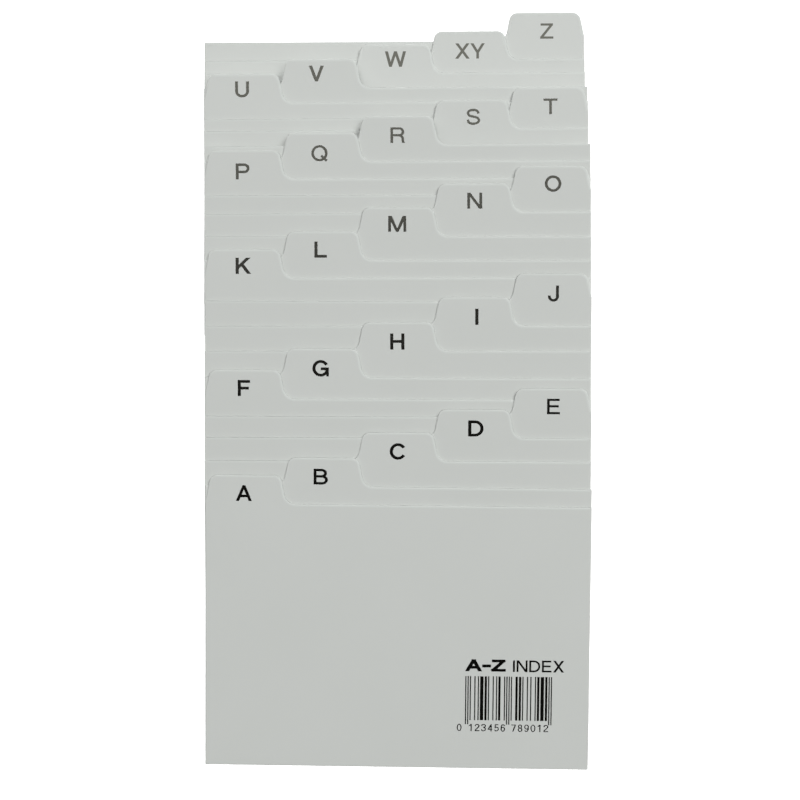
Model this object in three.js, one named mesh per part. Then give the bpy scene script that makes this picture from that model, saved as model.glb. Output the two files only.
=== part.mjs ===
// A set of alphabetical index guide cards, laid out on a table as an overlapping spread.
// Each guide is one thin rigid sheet with a raised tab. The last letter lies flat at the back,
// and every other guide rests on the one beneath it, pulled forward so that its tab row shows.
// Units are millimetres and +Z is up. Guide A, the front one, has its lower edge on the table.
import * as THREE from 'three';

// One guide.
const CARD_WIDTH = 110;
const BODY_HEIGHT = 75.9; // lower edge to shoulder
const THICKNESS = 0.5;
const TAB_HEIGHT = 8.2; // shoulder to tab top
const TAB_HALF_TOP = 9.9; // half the tab's width at its top, measured to the sharp corner
const TAB_SLOPE = 0.21; // how far each tab side spreads for each millimetre down
const TAB_CORNER_RADIUS = 2.4;
const TAB_ROOT_RADIUS = 3.3;
const TAB_CENTRES = [11.5, 33.7, 55.2, 76.8, 98.7]; // tab positions, from the sheet's left side
const ARC_SEGMENTS = 8;

// The spread.
const SHEET_GAP = 0.1; // air between one guide and the next
const MIDDLE_TILT = THREE.MathUtils.degToRad(4.6); // tilt of guides V to S

// The guides from the bottom of the pile to the top. Each row holds the tab letters, how far
// the guide is pulled forward of the one beneath, its sideways offset (both in millimetres),
// and its turn in the sheet's own plane, in degrees.
const FLAT_GUIDES = [
  ['z', 0, -1.1, 0.1],
  ['xy', 5.4, -0.9, 0.2],
  ['w', 3.9, -0.9, 0.1],
];
const MIDDLE_GUIDES = [
  ['v', 4.9, -0.4, 0.2],
  ['u', 4.2, -0.3, 0.2],
  ['t', 4.5, -0.1, 0.4],
  ['s', 3.4, -0.1, 0.4],
];
const FRONT_GUIDES = [
  ['r', 4.5, 0.3, 0.3],
  ['q', 4.6, 0.2, 0.2],
  ['p', 4.9, 0.2, 0.1],
  ['o', 4.7, 0.2, 0],
  ['n', 5, 0.4, 0.3],
  ['m', 6.6, 0.2, -0.1],
  ['l', 6.8, 0.2, -0.1],
  ['k', 5, 0.2, 0],
  ['j', 6.7, 0.2, -0.3],
  ['i', 6.9, 0.3, 0],
  ['h', 7.1, 0.2, 0],
  ['g', 7.6, 0, -0.3],
  ['f', 6.1, 0.1, -0.3],
  ['e', 4.9, 0.2, -0.2],
  ['d', 6, 0.1, -0.2],
  ['c', 6.6, 0.1, -0.2],
  ['b', 7.4, 0.1, -0.6],
  ['a', 5.1, 0.1, -0.6],
];

const PITCH = THICKNESS + SHEET_GAP;
const LETTERS = [...FLAT_GUIDES, ...MIDDLE_GUIDES, ...FRONT_GUIDES].map((row) => row[0]).reverse();

// Points of an arc that rounds the corner at `corner`, between two straight sides.
function roundedCorner(before, corner, after, radius) {
  const toBefore = before.clone().sub(corner).normalize();
  const toAfter = after.clone().sub(corner).normalize();
  const halfAngle = Math.acos(toBefore.dot(toAfter)) / 2;
  const bisector = toBefore.clone().add(toAfter).normalize();
  const centre = corner.clone().addScaledVector(bisector, radius / Math.sin(halfAngle));
  const start = corner.clone().addScaledVector(toBefore, radius / Math.tan(halfAngle));
  const end = corner.clone().addScaledVector(toAfter, radius / Math.tan(halfAngle));
  const from = start.sub(centre).angle();
  let sweep = end.sub(centre).angle() - from;
  if (sweep > Math.PI) sweep -= 2 * Math.PI;
  if (sweep < -Math.PI) sweep += 2 * Math.PI;
  const points = [];
  for (let i = 0; i <= ARC_SEGMENTS; i += 1) {
    const angle = from + (sweep * i) / ARC_SEGMENTS;
    points.push(new THREE.Vector2(Math.cos(angle), Math.sin(angle)).multiplyScalar(radius).add(centre));
  }
  return points;
}

// The lower part of a tab's side, from the sheet's own side inwards, with the tab centred on
// x = 0. `edge` is the distance from there to the sheet's side. A tab at the end of the row
// slants straight out to that side. Any other has a shoulder and a rounded root.
function tabRoot(edge) {
  const root = TAB_HALF_TOP + TAB_SLOPE * TAB_HEIGHT;
  const top = BODY_HEIGHT + TAB_HEIGHT;
  if (edge < root) return [new THREE.Vector2(edge, top - (edge - TAB_HALF_TOP) / TAB_SLOPE)];
  const shoulder = new THREE.Vector2(edge, BODY_HEIGHT);
  const corner = new THREE.Vector2(root, BODY_HEIGHT);
  const topCorner = new THREE.Vector2(TAB_HALF_TOP, top);
  return [shoulder, ...roundedCorner(shoulder, corner, topCorner, TAB_ROOT_RADIUS)];
}

// One side of a tab, from the sheet's own side to the tab's top. `side` is +1 or -1.
function tabSide(side, edge) {
  const top = BODY_HEIGHT + TAB_HEIGHT;
  const root = new THREE.Vector2(TAB_HALF_TOP + TAB_SLOPE * TAB_HEIGHT, BODY_HEIGHT);
  const corner = new THREE.Vector2(TAB_HALF_TOP, top);
  const upper = roundedCorner(root, corner, new THREE.Vector2(0, top), TAB_CORNER_RADIUS);
  return [...tabRoot(edge), ...upper].map((point) => point.setX(side * point.x));
}

// The outline of a guide whose tab is in the given column, counted from the left.
// x = 0 is the sheet's middle and y = 0 its lower edge.
function guideOutline(column) {
  const half = CARD_WIDTH / 2;
  const tabCentre = TAB_CENTRES[column] - half;
  const right = tabSide(1, half - tabCentre);
  const left = tabSide(-1, half + tabCentre).reverse();
  const tab = [...right, ...left].map((point) => point.setX(point.x + tabCentre));
  return [new THREE.Vector2(-half, 0), new THREE.Vector2(half, 0), ...tab];
}

// The sheet itself, centred on its body so that a small turn pivots about the middle.
function guideMesh(letters) {
  const column = LETTERS.indexOf(letters) % TAB_CENTRES.length;
  const shape = new THREE.Shape(guideOutline(column));
  const geometry = new THREE.ExtrudeGeometry(shape, { depth: THICKNESS, bevelEnabled: false });
  geometry.translate(0, -BODY_HEIGHT / 2, 0);
  const plastic = new THREE.MeshStandardMaterial({ color: 0xc4c8c4, roughness: 0.45, metalness: 0 });
  plastic.name = 'light_grey_plastic';
  const mesh = new THREE.Mesh(geometry, plastic);
  mesh.name = `guide_${letters}`;
  return mesh;
}

// Unit vectors in the Y-Z plane: up along a sheet tilted by `tilt`, and out of its top face.
const along = (tilt) => new THREE.Vector2(Math.cos(tilt), Math.sin(tilt));
const outward = (tilt) => new THREE.Vector2(-Math.sin(tilt), Math.cos(tilt));

// Where the lower edge of each guide's underside goes, in the Y-Z plane. A block of guides
// shares one tilt. Its first guide rests on the front corner of the last guide before it.
function placeBlock(guides, tilt, previous) {
  const places = [];
  let last = previous;
  for (const [letters, step, aside, turn] of guides) {
    const edge = new THREE.Vector2();
    if (last) {
      edge.copy(last.edge).addScaledVector(outward(last.tilt), THICKNESS);
      edge.addScaledVector(outward(tilt), SHEET_GAP).addScaledVector(along(tilt), -step);
    }
    last = { letters, tilt, edge, aside, turn: THREE.MathUtils.degToRad(turn) };
    places.push(last);
  }
  return places;
}

// The tilt that brings the lowest corner of the front guide down to the table.
function frontTilt(previous) {
  const support = previous.edge.clone().addScaledVector(outward(previous.tilt), THICKNESS);
  const reach = FRONT_GUIDES.reduce((sum, row) => sum + row[1], 0);
  const frontTurn = THREE.MathUtils.degToRad(Math.abs(FRONT_GUIDES[FRONT_GUIDES.length - 1][3]));
  const toLowCorner = reach + (CARD_WIDTH / 2) * Math.sin(frontTurn);
  const rise = SHEET_GAP + (FRONT_GUIDES.length - 1) * PITCH;
  return Math.atan2(rise, toLowCorner) + Math.asin(support.y / Math.hypot(rise, toLowCorner));
}

function placeAll() {
  const flat = placeBlock(FLAT_GUIDES, 0, null);
  const middle = placeBlock(MIDDLE_GUIDES, MIDDLE_TILT, flat[flat.length - 1]);
  const lastMiddle = middle[middle.length - 1];
  return [...flat, ...middle, ...placeBlock(FRONT_GUIDES, frontTilt(lastMiddle), lastMiddle)];
}

// A tilted holder for one guide, with the guide turned slightly in its own plane inside it.
function placedGuide({ letters, tilt, edge, aside, turn }) {
  const mesh = guideMesh(letters);
  mesh.position.set(0, BODY_HEIGHT / 2, 0);
  mesh.rotation.z = turn;
  const holder = new THREE.Group();
  holder.name = `place_${letters}`;
  holder.position.set(aside, edge.x, edge.y);
  holder.rotation.x = tilt;
  holder.add(mesh);
  return holder;
}

// The whole spread, moved so that the middle of its footprint is the origin.
function buildSpread() {
  const spread = new THREE.Group();
  spread.name = 'index_guide_set';
  for (const place of placeAll()) spread.add(placedGuide(place));
  spread.updateMatrixWorld(true);
  const box = new THREE.Box3().setFromObject(spread, true);
  const centre = box.getCenter(new THREE.Vector3());
  for (const holder of spread.children) {
    holder.position.sub(new THREE.Vector3(centre.x, centre.y, box.min.z));
  }
  return spread;
}

export default buildSpread();
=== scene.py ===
"""Looks of a set of alphabetical index guide cards, spread out on a white table.

Each guide is rebuilt from the outline of its CAD sheet, with rounded cut edges, and carries its
printed letter as a thin layer of ink. Everything is in metres, in the frame of the CAD model.
"""
import math

import bpy  # noqa: E402
from mathutils import Matrix, Vector, geometry  # noqa: E402


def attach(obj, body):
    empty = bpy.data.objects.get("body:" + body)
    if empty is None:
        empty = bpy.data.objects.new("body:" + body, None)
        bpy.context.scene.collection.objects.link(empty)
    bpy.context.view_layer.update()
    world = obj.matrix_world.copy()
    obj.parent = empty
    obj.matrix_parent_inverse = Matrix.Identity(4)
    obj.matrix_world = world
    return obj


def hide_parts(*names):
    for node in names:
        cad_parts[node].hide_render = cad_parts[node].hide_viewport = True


MM = 0.001

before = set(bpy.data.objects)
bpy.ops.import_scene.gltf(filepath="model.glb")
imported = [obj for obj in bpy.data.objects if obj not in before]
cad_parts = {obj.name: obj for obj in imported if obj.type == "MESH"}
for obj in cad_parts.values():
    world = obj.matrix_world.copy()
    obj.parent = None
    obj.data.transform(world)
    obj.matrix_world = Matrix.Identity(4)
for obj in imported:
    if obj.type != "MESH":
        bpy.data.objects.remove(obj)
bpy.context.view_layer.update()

# ---------------------------------------------------------------- the sheets, in millimetres
CARD_WIDTH = 110
BODY_HEIGHT = 75.9
TAB_TOP = 84.1
TAB_COLUMNS = 5
TOP_FACING = 0.9  # the least upward part of the normal of a face that belongs to a sheet's top

# Round the cut edge: how far in from the outline, how far below the top face, and how pale. The
# paleness is partly whitened cut plastic and partly a painted highlight where the rounded rim catches
# the light.
CUT_PROFILE = [
    (0.85, 0.0, 0.0), (0.6, 0.0, 0.4), (0.42, 0.004, 0.9), (0.25, 0.015, 1.0), (0.1, 0.05, 1.0),
    (0.03, 0.11, 1.0), (0.0, 0.2, 0.8), (0.0, 0.4, 0.2), (0.0, 0.58, 0.0),
]
# How pale the tab edges are, by the way they run: partly whitened cut plastic, partly a painted
# highlight that makes the edges facing the light from the upper right paler. The right sides are
# palest, the top edges less so, and the left sides, away from the light, least.
RIGHT_SIDE_HIGHLIGHT = 0.75
TOP_EDGE_HIGHLIGHT = 0.48
LEAST_PALENESS = 0.15
SHARPEST_CORNER = 0.3  # keeps a very sharp corner from moving too far when an outline is pulled in

# ---------------------------------------------------------------- the print, in millimetres
CAP_HEIGHT = 4.35
LETTER_SPACING = 0.08  # as a share of the height of the capitals
INK_TOP = 0.012  # above the sheet
INK_FOOT = 0.002
MERGE_DISTANCE = 1e-5
INK_SPREAD = 0.08  # how far the ink of a letter runs past the letter's drawn outline
SPREAD_CHANGE = 0.04  # how much further or less far it runs on the heavily and lightly printed guides
HEAVY_PRINT = ("c", "d", "f", "g", "h", "i", "k", "l")
LIGHT_PRINT = ("e", "q", "r", "s", "t", "xy", "z")

# Where each letter is printed: sideways from the middle of its fifth of the sheet's width, and
# down from the tab's top.
PRINT_PLACES = {
    "a": (0, 3.0), "b": (-0.1, 3.2), "c": (0.1, 3.2), "d": (0.3, 3.2), "e": (0.2, 2.9),
    "f": (0.2, 3.0), "g": (0.2, 3.4), "h": (0, 3.3), "i": (0.5, 3.4), "j": (0.1, 3.5),
    "k": (0.1, 2.5), "l": (0.1, 3.0), "m": (-0.1, 2.5), "n": (0, 2.7), "o": (0.2, 2.8),
    "p": (0, 3.8), "q": (0, 3.6), "r": (0.2, 3.2), "s": (0.2, 2.6), "t": (0.2, 3.2),
    "u": (0, 2.1), "v": (-0.6, 1.9), "w": (0.3, 2.0), "xy": (-0.1, 3.6), "z": (0.2, 3.2),
}

# The block of bars on the front guide.
BARS_LEFT = 19.6
BARS_WIDTH = 24.8
BARS_FOOT = 14.1
BARS_TOP = 26.9
LONG_BAR_EXTRA = 1.2
BAR_WIDTHS = "1312113121131211231113212113121311213121"  # bar, gap, bar, gap ... in modules
GUARD = [1, 1, 1, 1]

# The small text round the bars: what it says, its left end from the left of the bars, its foot
# on the sheet, its height, the stretch and the spacing of its letters, and the ink's spread.
SMALL_TEXT = [
    ("A-Z", 0.2, 28.5, 3.1, 1.38, 0.16, 0.2),
    ("INDEX", 13.6, 28.3, 3.33, 0.98, 0.16, 0.03),
    ("0", -2.3, 10.9, 2.05, 1.1, 0.24, 0.02),
    ("123456", 1.0, 10.9, 2.05, 1.1, 0.24, 0.02),
    ("789012", 13.3, 10.9, 2.05, 1.1, 0.24, 0.02),
]

# ---------------------------------------------------------------- colours
PLASTIC_DARK = (0.525, 0.545, 0.522)
PLASTIC_LIGHT = (0.546, 0.563, 0.543)
PLASTIC_GRAIN = (0.608, 0.628, 0.605)
# Colour of the pale cut edges: partly whitened plastic, partly a painted highlight.
PLASTIC_CUT_AND_HIGHLIGHT = (0.59, 0.618, 0.594)
INK_DARK = (0.0005, 0.0005, 0.0003)
INK_LIGHT = (0.002, 0.002, 0.0015)
INK_SHINE = (1, 1, 0.87, 1)
NOISE_STEPS = (0.37, 0.11, 0.05)  # how far the plastic's noise moves on from guide to guide

# ---------------------------------------------------------------- table, light and camera
TABLE_HALF = 3.0
TABLE_DROP = 0.00005
TABLE_COLOUR = (0.93, 0.93, 0.93, 1)
TABLE_GLOW = 0.8
WORLD_LIGHT = 0.03

# Each soft light: its place, the spot it faces, its width, its depth and its brightness.
LIGHTS = {
    "key": ((0.7, 1.75, 5.0), (0, 0, 0), 4.2, 2.05, 6.2),
    "key_skirt": ((0.7, -0.02, 5.1), (0, -0.02, 0), 4.2, 1.42, 4.7),
    "side_left": ((-2.1, 2.1, 3.5), (0, 0, 0), 1.82, 1.82, 1.2),
    "side_right": ((2.1, 2.1, 3.5), (0, 0, 0), 1.82, 1.82, 4.6),
}
LENS = 109.2
SENSOR_WIDTH = 36
CAMERA_PLACE = (0.01975, -0.01946, 0.7001)
CAMERA_TURN = (1.351, 1.535, 0.058)  # in degrees
NEAREST_SEEN = 0.01
FURTHEST_SEEN = 10

# ---------------------------------------------------------------- glyphs
# A glyph is its width and a list of closed outlines, in a frame where capitals are 1 high.
STEM = 0.155  # width of an upright
BAR = 0.13  # height of a crossbar
DIGIT_STEM = 0.12
DIGIT_BAR = 0.1
DIGIT_BRUSH = 0.11
BOW_STEP = 10  # degrees of an arc for each straight piece
BRUSH_STEPS = 6


def rect(x0, y0, x1, y1):
    return [(x0, y0), (x1, y0), (x1, y1), (x0, y1)]


def bow(cx, cy, rx, ry, start, end, stem=STEM, bar=BAR):
    """Part of an oval ring, from angle start to end in degrees."""
    steps = max(4, round(abs(end - start) / BOW_STEP))
    angles = [math.radians(start + (end - start) * i / steps) for i in range(steps + 1)]
    outer = [(cx + rx * math.cos(a), cy + ry * math.sin(a)) for a in angles]
    inner = [(cx + (rx - stem) * math.cos(a), cy + (ry - bar) * math.sin(a)) for a in angles]
    return outer + inner[::-1]


def ring(cx, cy, rx, ry, stem=STEM, bar=BAR):
    """A whole oval ring, as its upper and its lower half."""
    return [bow(cx, cy, rx, ry, 0, 180, stem, bar), bow(cx, cy, rx, ry, 180, 360, stem, bar)]


def brush(points, stem=0.145, bar=0.135):
    """A stroke along a smooth curve through the points, a little thinner where it runs level."""
    pts = [Vector(p) for p in points]
    pts = [2 * pts[0] - pts[1], *pts, 2 * pts[-1] - pts[-2]]
    line = []
    for i in range(1, len(pts) - 2):
        for k in range(BRUSH_STEPS):
            t = k / BRUSH_STEPS
            a, b, c, d = pts[i - 1:i + 3]
            line.append(0.5 * (2 * b + (c - a) * t + (2 * a - 5 * b + 4 * c - d) * t * t
                               + (3 * b - a - 3 * c + d) * t ** 3))
    line.append(pts[-2])
    left = []
    right = []
    for i, p in enumerate(line):
        way = (line[min(i + 1, len(line) - 1)] - line[max(i - 1, 0)]).normalized()
        side = Vector((-way.y * stem / 2, way.x * bar / 2))
        left.append(tuple(p + side))
        right.append(tuple(p - side))
    return left + right[::-1]


def digit_ring(cx, cy, rx, ry):
    return ring(cx, cy, rx, ry, DIGIT_STEM, DIGIT_BAR)


def digit_brush(points):
    return brush(points, DIGIT_STEM, DIGIT_BRUSH)


def flip(shape, width):
    return [(width - x, y) for x, y in shape][::-1]


UPRIGHT = rect(0, 0, STEM, 1)
LEG = [(0, 0), (0.17, 0), (0.585, 1), (0.415, 1)]
GLYPHS = {
    "A": (1.0, [LEG, flip(LEG, 1.0), [(0.2, 0.25), (0.8, 0.25), (0.75, 0.38), (0.25, 0.38)]]),
    "B": (0.9, [UPRIGHT, rect(0, 0.87, 0.5, 1), rect(0, 0.455, 0.52, 0.585), rect(0, 0, 0.54, BAR),
                bow(0.5, 0.7275, 0.34, 0.2725, -90, 90), bow(0.54, 0.2925, 0.36, 0.2925, -90, 90)]),
    "C": (1.0, [bow(0.52, 0.5, 0.52, 0.515, 36, 324)]),
    "D": (0.95, [UPRIGHT, rect(0, 0.87, 0.42, 1), rect(0, 0, 0.42, BAR),
                 bow(0.42, 0.5, 0.53, 0.5, -90, 90)]),
    "E": (0.82, [UPRIGHT, rect(0, 0.87, 0.8, 1), rect(0, 0.45, 0.75, 0.58), rect(0, 0, 0.82, BAR)]),
    "F": (0.76, [UPRIGHT, rect(0, 0.87, 0.76, 1), rect(0, 0.43, 0.68, 0.56)]),
    "G": (1.04, [bow(0.52, 0.5, 0.52, 0.515, 34, 345), rect(0.55, 0.4, 1.02, 0.53),
                 rect(0.91, 0, 1.02, 0.5)]),
    "H": (0.88, [UPRIGHT, rect(0.88 - STEM, 0, 0.88, 1), rect(0, 0.445, 0.88, 0.575)]),
    "I": (STEM, [UPRIGHT]),
    "J": (0.68, [rect(0.68 - STEM, 0.3, 0.68, 1), bow(0.34, 0.31, 0.34, 0.325, 172, 360)]),
    "K": (0.93, [UPRIGHT, [(0.1, 0.26), (0.89, 1), (0.68, 1), (0.1, 0.46)],
                 [(0.3, 0.57), (0.74, 0), (0.93, 0), (0.42, 0.68)]]),
    "L": (0.76, [UPRIGHT, rect(0, 0, 0.76, BAR)]),
    "M": (1.14, [rect(0, 0, 0.145, 1), rect(0.995, 0, 1.14, 1),
                 [(0, 1), (0.5, 0), (0.64, 0), (0.21, 1)],
                 [(0.5, 0), (0.64, 0), (1.14, 1), (0.93, 1)]]),
    "N": (0.94, [rect(0, 0, 0.15, 1), rect(0.79, 0, 0.94, 1),
                 [(0, 1), (0.76, 0), (0.94, 0), (0.18, 1)]]),
    "O": (1.05, ring(0.525, 0.5, 0.525, 0.515)),
    "P": (0.87, [UPRIGHT, rect(0, 0.87, 0.55, 1), rect(0, 0.4, 0.55, 0.53),
                 bow(0.55, 0.7, 0.32, 0.3, -90, 90)]),
    "Q": (1.07, [*ring(0.525, 0.5, 0.525, 0.515),
                 [(0.6, 0.29), (0.94, -0.04), (1.04, 0.06), (0.69, 0.39)]]),
    "R": (0.93, [UPRIGHT, rect(0, 0.87, 0.56, 1), rect(0, 0.43, 0.56, 0.56),
                 bow(0.56, 0.715, 0.33, 0.285, -90, 90), bow(0.54, 0.26, 0.33, 0.29, -4, 90),
                 [(0.76, 0), (0.93, 0), (0.87, 0.1), (0.87, 0.27), (0.715, 0.27), (0.73, 0.1)]]),
    "S": (0.9, [brush([(0.79, 0.72), (0.69, 0.89), (0.46, 0.95), (0.18, 0.89), (0.1, 0.73),
                       (0.2, 0.58), (0.46, 0.51), (0.71, 0.43), (0.81, 0.27), (0.71, 0.11),
                       (0.44, 0.05), (0.17, 0.12), (0.07, 0.31)])]),
    "T": (0.9, [rect(0, 0.87, 0.9, 1), rect(0.45 - STEM / 2, 0, 0.45 + STEM / 2, 1)]),
    "U": (0.88, [rect(0, 0.36, STEM, 1), rect(0.88 - STEM, 0.36, 0.88, 1),
                 bow(0.44, 0.37, 0.44, 0.385, 180, 360)]),
    "V": (0.94, [[(0, 1), (0.385, 0), (0.555, 0), (0.175, 1)],
                 [(0.385, 0), (0.555, 0), (0.94, 1), (0.765, 1)]]),
    "W": (1.36, [[(0, 1), (0.27, 0), (0.42, 0), (0.165, 1)],
                 [(0.27, 0), (0.42, 0), (0.76, 1), (0.6, 1)],
                 [(0.6, 1), (0.76, 1), (1.09, 0), (0.94, 0)],
                 [(0.94, 0), (1.09, 0), (1.36, 1), (1.195, 1)]]),
    "X": (0.93, [[(0, 0), (0.19, 0), (0.92, 1), (0.73, 1)],
                 [(0.01, 1), (0.74, 0), (0.93, 0), (0.2, 1)]]),
    "Y": (0.93, [[(0, 1), (0.4, 0.36), (0.54, 0.42), (0.185, 1)],
                 [(0.39, 0.42), (0.53, 0.36), (0.93, 1), (0.745, 1)],
                 rect(0.465 - STEM / 2, 0, 0.465 + STEM / 2, 0.43)]),
    "Z": (0.86, [rect(0.03, 0.87, 0.83, 1), rect(0, 0, 0.86, BAR),
                 [(0, 0.1), (0.19, 0.1), (0.83, 0.9), (0.64, 0.9)]]),
    "-": (0.5, [rect(0, 0.38, 0.5, 0.52)]),
    "0": (0.6, digit_ring(0.3, 0.5, 0.3, 0.51)),
    "1": (0.6, [rect(0.3, 0, 0.43, 1), [(0.08, 0.7), (0.36, 0.82), (0.36, 1), (0.3, 1), (0.08, 0.8)]]),
    "2": (0.6, [digit_brush([(0.06, 0.7), (0.12, 0.88), (0.3, 0.95), (0.49, 0.87), (0.52, 0.68),
                             (0.36, 0.44), (0.12, 0.22), (0.06, 0.04)]),
                rect(0.01, 0, 0.59, 0.11)]),
    "3": (0.6, [digit_brush([(0.05, 0.76), (0.14, 0.91), (0.33, 0.95), (0.5, 0.86), (0.48, 0.62),
                             (0.25, 0.54)]),
                digit_brush([(0.25, 0.54), (0.49, 0.46), (0.53, 0.22), (0.35, 0.05), (0.12, 0.09),
                             (0.04, 0.26)])]),
    "4": (0.6, [rect(0.38, 0, 0.5, 1), rect(0.01, 0.23, 0.6, 0.34),
                [(0.01, 0.3), (0.15, 0.3), (0.5, 0.86), (0.4, 1)]]),
    "5": (0.6, [rect(0.1, 0.89, 0.54, 1), [(0.05, 0.46), (0.17, 0.46), (0.22, 1), (0.1, 1)],
                digit_brush([(0.1, 0.52), (0.3, 0.6), (0.49, 0.5), (0.53, 0.3), (0.44, 0.12),
                             (0.26, 0.05), (0.05, 0.2)])]),
    "6": (0.6, [*digit_ring(0.3, 0.32, 0.28, 0.33),
                digit_brush([(0.52, 0.82), (0.38, 0.95), (0.2, 0.9), (0.09, 0.66), (0.08, 0.32)])]),
    "7": (0.6, [rect(0.02, 0.89, 0.58, 1), [(0.13, 0), (0.27, 0), (0.58, 0.9), (0.43, 0.9)]]),
    "8": (0.6, [*digit_ring(0.3, 0.74, 0.25, 0.27), *digit_ring(0.3, 0.27, 0.29, 0.28)]),
    "9": (0.6, [*digit_ring(0.3, 0.67, 0.28, 0.34),
                digit_brush([(0.08, 0.18), (0.22, 0.05), (0.4, 0.1), (0.51, 0.34), (0.52, 0.68)])]),
}


# ---------------------------------------------------------------- outlines
def pulled_in(outline, distance):
    """A counter-clockwise outline moved inwards, with its corners kept."""
    result = []
    for i, p in enumerate(outline):
        before = (p - outline[i - 1]).normalized()
        after = (outline[(i + 1) % len(outline)] - p).normalized()
        n1 = Vector((-before.y, before.x))
        n2 = Vector((-after.y, after.x))
        both = (n1 + n2).normalized()
        result.append(p + both * (distance / max(SHARPEST_CORNER, both.dot(n1))))
    return result


def grown(shape, distance):
    """A flat shape as a counter-clockwise outline, moved outwards."""
    points = [Vector(p) for p in shape]
    if sum(a.cross(b) for a, b in zip(points, points[1:] + points[:1])) < 0:
        points.reverse()
    return pulled_in(points, -distance)


def border(faces):
    """The edges of some faces that no two of them share, each as a pair of points in turn."""
    edges = set()
    for corners in faces:
        for a, b in zip(corners, corners[1:] + corners[:1]):
            if (b, a) in edges:
                edges.remove((b, a))
            else:
                edges.add((a, b))
    return edges


def set_line(text, height, stretch, spacing, spread):
    """Outlines of a line of text from x = 0, in millimetres, and the line's width."""
    shapes = []
    x = 0.0
    for letter in text:
        width, outlines = GLYPHS[letter]
        for outline in outlines:
            drawn = [((x + px * stretch) * height, py * height) for px, py in outline]
            shapes.append(grown(drawn, spread))
        x += width * stretch + spacing
    return shapes, (x - spacing) * height


def moved(shapes, dx, dy):
    return [[p + Vector((dx, dy)) for p in shape] for shape in shapes]


# ---------------------------------------------------------------- sheets
def top_outline(mesh):
    """The outline of a solid's top face, counter-clockwise, and the face's normal."""
    spots = {}
    points = []

    def spot(index):
        place = mesh.vertices[index].co
        key = tuple(round(c * 1e6) for c in place)
        if key not in spots:
            spots[key] = len(points)
            points.append(place.copy())
        return spots[key]

    normal = Vector()
    faces = []
    for face in mesh.polygons:
        if face.normal.z >= TOP_FACING:
            normal += face.normal * face.area
            faces.append([spot(v) for v in face.vertices])
    after = dict(border(faces))
    loop = [min(after)]
    while after[loop[-1]] != loop[0]:
        loop.append(after[loop[-1]])
    return [points[i] for i in loop], normal.normalized()


def sheet_axes(node):
    """A guide's own axes, and its outline in them, both from its CAD solid.

    The axes are a matrix whose origin is the middle of the lower edge of the top face, with X
    along that edge, which is the longest, Y up the sheet and Z out of the face.
    """
    outline, z_axis = top_outline(node.data)
    edges = zip(outline, outline[1:] + outline[:1])
    left, right = max(edges, key=lambda edge: (edge[1] - edge[0]).length)
    x_axis = (right - left).normalized()
    y_axis = z_axis.cross(x_axis)
    origin = (left + right) / 2
    rows = [[x_axis[i], y_axis[i], z_axis[i], origin[i]] for i in range(3)]
    axes = Matrix(rows + [[0, 0, 0, 1]])
    flat = [axes.inverted() @ p for p in outline]
    return axes, [Vector((p.x, p.y)) for p in flat]


def new_object(name, vertices, faces, materials):
    mesh = bpy.data.meshes.new(name)
    mesh.from_pydata([tuple(v) for v in vertices], [], faces)
    for material in materials:
        mesh.materials.append(material)
    mesh.update()
    obj = bpy.data.objects.new(name, mesh)
    bpy.context.scene.collection.objects.link(obj)
    return obj


def edge_paleness_and_highlight(start, end):
    """How pale the cut is along the edge from start to end, as whitened plastic and painted highlight
    together.

    It is palest down the right sides of the tabs, less so along the top edges and least down the tabs'
    left sides; this difference is a painted highlight on the edges that face the light from the upper
    right. The sheet's foot and its two long sides are not pale at all.
    """
    if min(start.y, end.y) < BODY_HEIGHT * MM / 2:
        return 0.0
    way = (end - start).normalized()
    return max(LEAST_PALENESS, RIGHT_SIDE_HIGHLIGHT * way.y - TOP_EDGE_HIGHLIGHT * way.x)


def make_sheet(letters, index, axes, outline, plastic):
    """A guide with rounded cut edges.

    Its points carry their place on the sheet, and the corners of its faces how pale the cut is, which
    is partly a painted highlight.
    """
    vertices = []
    faces = []
    pale = []
    count = len(outline)
    for inset, depth, _ in CUT_PROFILE:
        vertices += [Vector((p.x, p.y, -depth * MM)) for p in pulled_in(outline, inset * MM)]
    # How pale each edge is: partly whitened cut plastic, partly painted highlight on the edges facing
    # the light.
    share = [edge_paleness_and_highlight(outline[i], outline[(i + 1) % count]) for i in range(count)]
    for k, (upper, lower) in enumerate(zip(CUT_PROFILE, CUT_PROFILE[1:])):
        for i in range(count):
            j = (i + 1) % count
            faces.append((k * count + i, (k + 1) * count + i, (k + 1) * count + j, k * count + j))
            high = upper[2] * share[i]
            low = lower[2] * share[i]
            pale += [high, low, low, high]
    last = (len(CUT_PROFILE) - 1) * count
    faces.append(tuple(range(count)))
    faces.append(tuple(range(last + count - 1, last - 1, -1)))
    placed = [axes @ v for v in vertices]
    above_table = [Vector((v.x, v.y, max(v.z, 0))) for v in placed]
    obj = new_object(f"sheet_{letters}", above_table, faces, [plastic])
    for face in obj.data.polygons:
        face.use_smooth = len(face.vertices) == 4
    shift = Vector([step * index for step in NOISE_STEPS])
    places = obj.data.attributes.new("on_sheet", "FLOAT_VECTOR", "POINT")
    places.data.foreach_set("vector", [c for v in vertices for c in v + shift])
    # The cut attribute carries that paleness, painted highlight included.
    cut = obj.data.attributes.new("cut", "FLOAT", "CORNER")
    cut.data.foreach_set("value", pale + [0.0] * (2 * count))
    return obj


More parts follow.
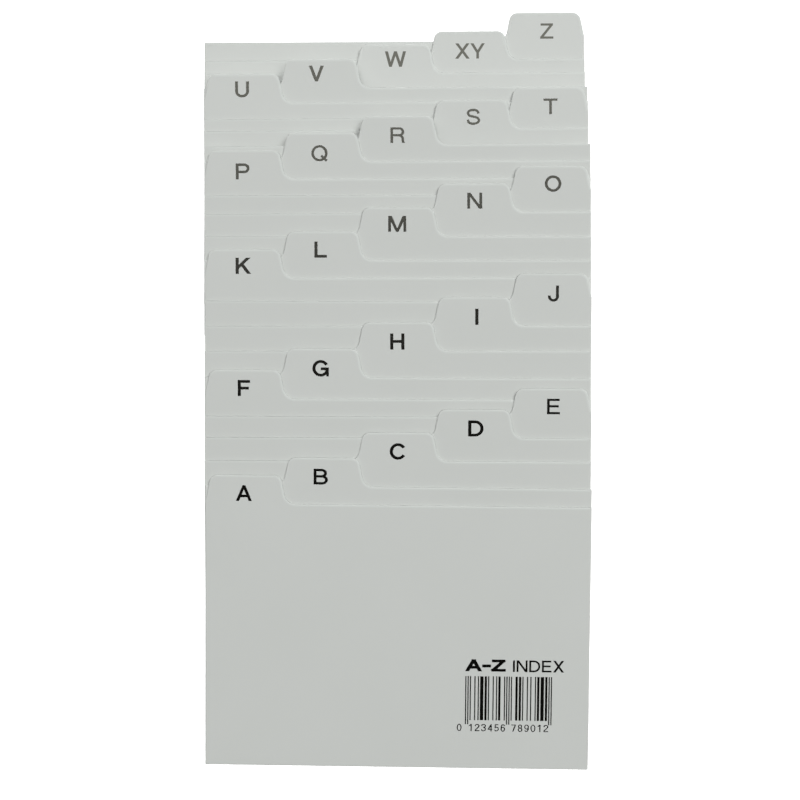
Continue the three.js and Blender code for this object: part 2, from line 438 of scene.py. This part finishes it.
def make_print(name, shapes, axes, ink):
    """Ink on a sheet: the union of flat outlines, given in millimetres on the sheet."""
    points = []
    outlines = []
    for shape in shapes:
        outlines.append(list(range(len(points), len(points) + len(shape))))
        points += shape
    result = geometry.delaunay_2d_cdt(points, [], outlines, 1, MERGE_DISTANCE)
    flat, _, tiles, _, _, sources = result
    tiles = [tile for tile, source in zip(tiles, sources) if source]
    top = [Vector((p.x * MM, p.y * MM, INK_TOP * MM)) for p in flat]
    foot = [Vector((p.x * MM, p.y * MM, INK_FOOT * MM)) for p in flat]
    n = len(top)
    faces = [tuple(tile) for tile in tiles]
    faces += [tuple(i + n for i in tile[::-1]) for tile in tiles]
    faces += [(b, a, a + n, b + n) for a, b in sorted(border(tiles))]
    return new_object(name, [axes @ v for v in top + foot], faces, [ink])


# ---------------------------------------------------------------- materials
def new_material(name):
    """An empty material, and a function that adds a node with its inputs and settings."""
    material = bpy.data.materials.new(name)
    material.use_nodes = True
    tree = material.node_tree
    tree.nodes.clear()

    def make(kind, inputs=None, **settings):
        node = tree.nodes.new(kind)
        for key, value in settings.items():
            setattr(node, key, value)
        for key, value in (inputs or {}).items():
            if isinstance(value, bpy.types.NodeSocket):
                tree.links.new(value, node.inputs[key])
            else:
                node.inputs[key].default_value = value
        return node

    return material, make


def mixed(make, factor, first, second):
    """A colour between two others, each of them a plain colour or another node's output."""
    mix = make("ShaderNodeMix", {"Factor": factor}, data_type="RGBA")
    for socket, value in (("A", first), ("B", second)):
        target = [s for s in mix.inputs if s.name == socket and s.type == "RGBA"][0]
        if isinstance(value, bpy.types.NodeSocket):
            mix.id_data.links.new(value, target)
        else:
            target.default_value = (*value, 1)
    return [s for s in mix.outputs if s.type == "RGBA"][0]


def noise(make, place, scale, detail):
    inputs = {"Vector": place, "Scale": scale, "Detail": detail}
    return make("ShaderNodeTexNoise", inputs).outputs["Fac"]


def plastic_material():
    """Rigid light grey plastic sheet: satin grain, faint cloudiness, and paler, duller cut edges,
    whose paleness is partly whitened plastic and partly a painted highlight.
    """
    material, make = new_material("light_grey_plastic")
    place = make("ShaderNodeAttribute", attribute_name="on_sheet").outputs["Vector"]
    cut = make("ShaderNodeAttribute", attribute_name="cut").outputs["Fac"]
    cloud = noise(make, place, 35.0, 3.0)
    grain = noise(make, place, 4500.0, 2.0)
    body = mixed(make, cloud, PLASTIC_DARK, PLASTIC_LIGHT)
    speck = make("ShaderNodeMapRange", {"Value": grain, "From Min": 0.3, "From Max": 0.7,
                                        "To Max": 0.12}).outputs["Result"]
    body = mixed(make, speck, body, PLASTIC_GRAIN)
    # Paler cut edges: partly whitened plastic, partly a painted highlight.
    colour = mixed(make, cut, body, PLASTIC_CUT_AND_HIGHLIGHT)
    rough = make("ShaderNodeMapRange", {"Value": cloud, "From Min": 0.3, "From Max": 0.7,
                                        "To Min": 0.3, "To Max": 0.36}).outputs["Result"]
    duller = make("ShaderNodeMath", {0: cut, 1: 0.2}, operation="MULTIPLY").outputs[0]
    rough = make("ShaderNodeMath", {0: rough, 1: duller}, operation="ADD").outputs[0]
    height = make("ShaderNodeMath", {0: grain, 1: 0.5}, operation="MULTIPLY").outputs[0]
    bump = make("ShaderNodeBump", {"Height": height, "Strength": 0.12,
                                   "Distance": 0.00003}).outputs["Normal"]
    shader = make("ShaderNodeBsdfPrincipled", {"Base Color": colour, "Roughness": rough,
                                               "Normal": bump, "Specular IOR Level": 0.1})
    make("ShaderNodeOutputMaterial", {"Surface": shader.outputs[0]})
    return material


def ink_material():
    """Black screen-printed ink, slightly uneven."""
    material, make = new_material("black_ink")
    place = make("ShaderNodeTexCoord").outputs["Object"]
    patch = noise(make, place, 1500.0, 3.0)
    colour = mixed(make, patch, INK_DARK, INK_LIGHT)
    rough = make("ShaderNodeMapRange", {"Value": patch, "To Min": 0.11,
                                        "To Max": 0.19}).outputs["Result"]
    bump = make("ShaderNodeBump", {"Height": patch, "Strength": 0.1,
                                   "Distance": 0.00001}).outputs["Normal"]
    shader = make("ShaderNodeBsdfPrincipled", {"Base Color": colour, "Roughness": rough,
                                               "Normal": bump, "Specular IOR Level": 0.35,
                                               "Specular Tint": INK_SHINE})
    make("ShaderNodeOutputMaterial", {"Surface": shader.outputs[0]})
    return material


def table_material():
    """A matt white surface with a soft light of its own, so that it stays plain white."""
    material = bpy.data.materials.new("white_table")
    material.use_nodes = True
    shader = material.node_tree.nodes["Principled BSDF"]
    shader.inputs["Base Color"].default_value = TABLE_COLOUR
    shader.inputs["Roughness"].default_value = 1.0
    shader.inputs["Specular IOR Level"].default_value = 0.0
    shader.inputs["Emission Color"].default_value = (1, 1, 1, 1)
    shader.inputs["Emission Strength"].default_value = TABLE_GLOW
    return material


# ---------------------------------------------------------------- what is printed
def bar_pattern():
    """The widths of the bars and gaps in turn, in modules, and which of them are the long bars."""
    widths = [int(c) for c in BAR_WIDTHS]
    half = len(widths) // 2
    pattern = GUARD + widths[:half] + GUARD + widths[half:] + GUARD[:3]
    middle = len(GUARD) + half
    return pattern, {0, 2, middle, middle + 2, len(pattern) - 3, len(pattern) - 1}


def code_block():
    """A block of bars that encodes nothing, a plain title line above it and digits below it."""
    pattern, long_bars = bar_pattern()
    module = BARS_WIDTH / sum(pattern)
    shapes = []
    x = BARS_LEFT
    for i, modules in enumerate(pattern):
        if i % 2 == 0:
            low = BARS_FOOT - LONG_BAR_EXTRA if i in long_bars else BARS_FOOT
            shapes.append(grown(rect(x, low, x + modules * module, BARS_TOP), 0))
        x += modules * module
    for text, aside, foot, height, stretch, spacing, spread in SMALL_TEXT:
        line, _ = set_line(text, height, stretch, spacing, spread)
        shapes += moved(line, BARS_LEFT + aside, foot)
    return shapes


def letter_shapes(letters, column):
    spread = INK_SPREAD + SPREAD_CHANGE * ((letters in HEAVY_PRINT) - (letters in LIGHT_PRINT))
    shapes, width = set_line(letters.upper(), CAP_HEIGHT, 1.0, LETTER_SPACING, spread)
    aside, drop = PRINT_PLACES[letters]
    middle = CARD_WIDTH * ((column + 0.5) / TAB_COLUMNS - 0.5) + aside
    return moved(shapes, middle - width / 2, TAB_TOP - drop - CAP_HEIGHT)


# ---------------------------------------------------------------- the set and its surroundings
def build_guides():
    plastic = plastic_material()
    ink = ink_material()
    for index, letters in enumerate(PRINT_PLACES):
        body = f"guide_{letters}"
        axes, outline = sheet_axes(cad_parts[body])
        sheet = make_sheet(letters, index, axes, outline, plastic)
        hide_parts(body)
        shapes = letter_shapes(letters, index % TAB_COLUMNS)
        prints = [make_print(f"print_{letters}", shapes, axes, ink)]
        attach(sheet, body)
        if letters == "a":
            prints.append(make_print("print_code_block", code_block(), axes, ink))
        for piece in prints:
            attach(piece, body)


def area_light(name, place, aim, width, depth, brightness):
    """A rectangular soft light, with its power set from its brightness."""
    data = bpy.data.lights.new(name, "AREA")
    data.shape = "RECTANGLE"
    data.size = width
    data.size_y = depth
    data.energy = brightness * math.pi * width * depth
    light = bpy.data.objects.new(name, data)
    backwards = (Vector(place) - Vector(aim)).normalized()
    sideways = Vector((0, 1, 0)).cross(backwards).normalized()
    turn = Matrix((sideways, backwards.cross(sideways), backwards)).transposed()
    light.location = place
    light.rotation_euler = turn.to_euler()
    bpy.context.scene.collection.objects.link(light)


def build_stage():
    half = TABLE_HALF
    corners = [(-half, -half, 0), (half, -half, 0), (half, half, 0), (-half, half, 0)]
    table = new_object("table_top", corners, [(0, 1, 2, 3)], [table_material()])
    table.location.z = -TABLE_DROP
    world = bpy.data.worlds.new("studio")
    world.use_nodes = True
    background = world.node_tree.nodes["Background"]
    background.inputs["Color"].default_value = (1, 1, 1, 1)
    background.inputs["Strength"].default_value = WORLD_LIGHT
    bpy.context.scene.world = world
    for name, light in LIGHTS.items():
        area_light(name, *light)
    bpy.context.scene.view_settings.view_transform = "Standard"


def build_camera():
    data = bpy.data.cameras.new("camera")
    data.lens = LENS
    data.sensor_width = SENSOR_WIDTH
    data.clip_start = NEAREST_SEEN
    data.clip_end = FURTHEST_SEEN
    camera = bpy.data.objects.new("camera", data)
    camera.location = CAMERA_PLACE
    camera.rotation_euler = [math.radians(a) for a in CAMERA_TURN]
    bpy.context.scene.collection.objects.link(camera)
    bpy.context.scene.camera = camera


build_camera()
build_stage()
build_guides()
